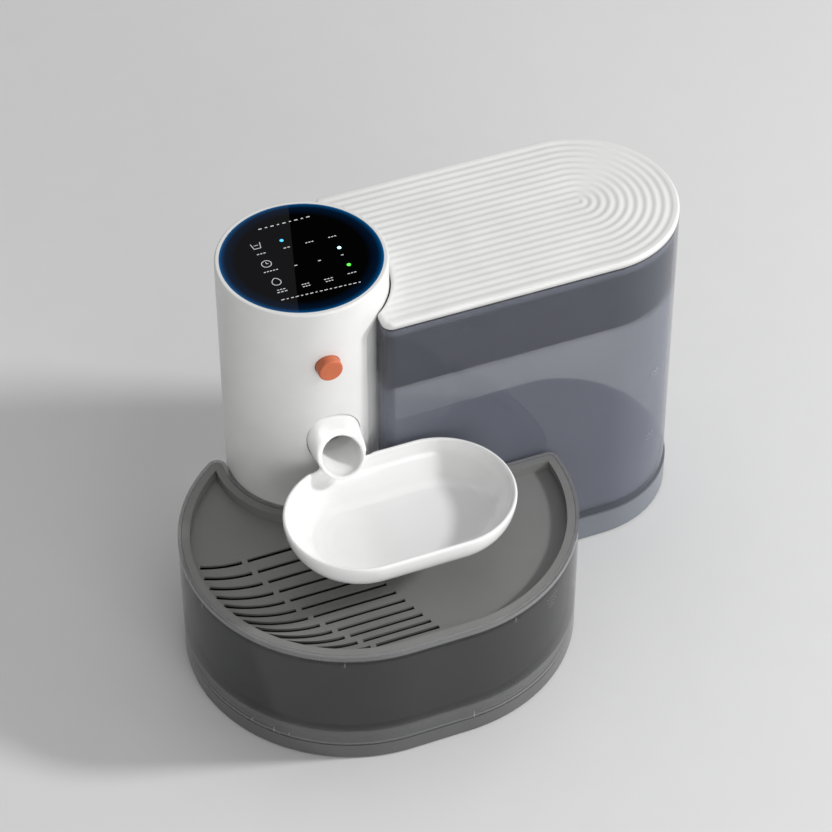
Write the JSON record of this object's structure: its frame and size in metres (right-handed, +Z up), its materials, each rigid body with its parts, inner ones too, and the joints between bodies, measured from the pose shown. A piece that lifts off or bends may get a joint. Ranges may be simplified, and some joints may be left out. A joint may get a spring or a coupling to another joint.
{
  "type": "automatic pet feeder",
  "caption": "Automatic pet feeder: round tower with lifting screw, display and push button, transparent lidded food tank, plug-in spout bowl and a pull-out spill tray with slotted cover.",
  "frame": {"origin": "on the floor, on the tower's vertical axis", "axes": "+X from the tower along the tank, +Z up; the bowl, tray and button face -Y"},
  "size_m": [0.4095, 0.2925, 0.2913],
  "materials": {
    "white_shell": "satin white moulded plastic",
    "white_glaze": "glossy white",
    "inner_white": "matt white",
    "tank_clear": "smoky blue transparent",
    "tank_smoke": "darker smoke transparent",
    "base_smoke": "smoky blue",
    "tray_clear": "smoky grey transparent",
    "tray_dark": "dark grey, fine texture",
    "black_glass": "gloss black",
    "halo_blue": "blue light guide",
    "orange": "orange, fine texture",
    "rubber_black": "matt",
    "rubber_grey": "matt",
    "steel": "brushed",
    "brass": "satin",
    "nylon": "natural nylon",
    "board_green": "solder mask",
    "black_plastic": "matt",
    "cell_wrap": "printed wrap"
  },
  "bodies": {
    "chassis": {"base_tub": "base_smoke", "base_plate": "black_plastic", "battery_door": "black_plastic", "battery_cells": "cell_wrap", "battery_tray": "black_plastic", "rubber_feet": "rubber_black", "base_screws": "steel", "power_board": "board_green", "dc_inlet": "black_plastic", "tower_shell": "white_shell", "dock_column": "inner_white", "outlet_seal": "rubber_grey", "auger_tube": "nylon", "feed_duct": "inner_white", "chute": "inner_white", "spout_socket": "inner_white", "lower_bush": "brass", "thrust_washer": "steel", "auger_cap": "nylon", "upper_bush": "brass", "motor_bracket": "steel", "motor": "steel", "display_glass": "black_glass", "halo_ring": "halo_blue", "display_carrier": "black_plastic", "display_board": "board_green", "display_leds": "white_glaze", "board_screws": "steel", "control_board": "board_green", "button_switch": "black_plastic", "ribbon_cable": "rubber_grey"},
    "auger": {"auger_screw": "nylon", "auger_gear": "nylon"},
    "drive_pinion": {"motor_pinion": "steel"},
    "button": {"dispense_button": "orange", "button_spring": "steel"},
    "tank": {"tank_shell": "tank_clear", "tank_liner": "tank_smoke"},
    "tank_lid": {"lid": "white_shell", "lid_gasket": "rubber_grey", "desiccant_box": "inner_white"},
    "feeding_bowl": {"bowl": "white_glaze"},
    "tray": {"tray_shell": "tray_clear", "tray_base": "tray_clear", "spill_bin": "tray_dark", "tray_pads": "rubber_black"},
    "tray_cover": {"tray_plate": "tray_dark"}
  },
  "joints": [
    {"name": "auger_spin", "type": "hinge", "parent": "chassis", "child": "auger", "pos_m": [0, 0, 0.1], "axis": [0, 0, 1], "continuous": true},
    {"name": "pinion_spin", "type": "hinge", "parent": "chassis", "child": "drive_pinion", "pos_m": [-0.03118, 0.018, 0.0105], "axis": [0, 0, 1], "continuous": true},
    {"name": "button_press", "type": "slide", "parent": "chassis", "child": "button", "axis": [0, 1, 0], "range_m": [0, 0.0012], "stiffness_N_per_m": 400, "springref_m": -0.003},
    {"name": "tank_lift", "type": "slide", "parent": "chassis", "child": "tank", "axis": [0, 0, 1], "range_m": [0, 0.12]},
    {"name": "lid_lift", "type": "slide", "parent": "tank", "child": "tank_lid", "axis": [0, 0, 1], "range_m": [0, 0.08]},
    {"name": "bowl_pull", "type": "slide", "parent": "chassis", "child": "feeding_bowl", "axis": [0, -1, 0], "range_m": [0, 0.08]},
    {"name": "tray_pull", "type": "slide", "parent": "chassis", "child": "tray", "axis": [0, -1, 0], "range_m": [0, 0.15]},
    {"name": "cover_lift", "type": "slide", "parent": "tray", "child": "tray_cover", "axis": [0, 0, 1], "range_m": [0, 0.016]}
  ],
  "couplings": [
    {"joint": "pinion_spin", "follows": "auger_spin", "ratio": -3}
  ]
}
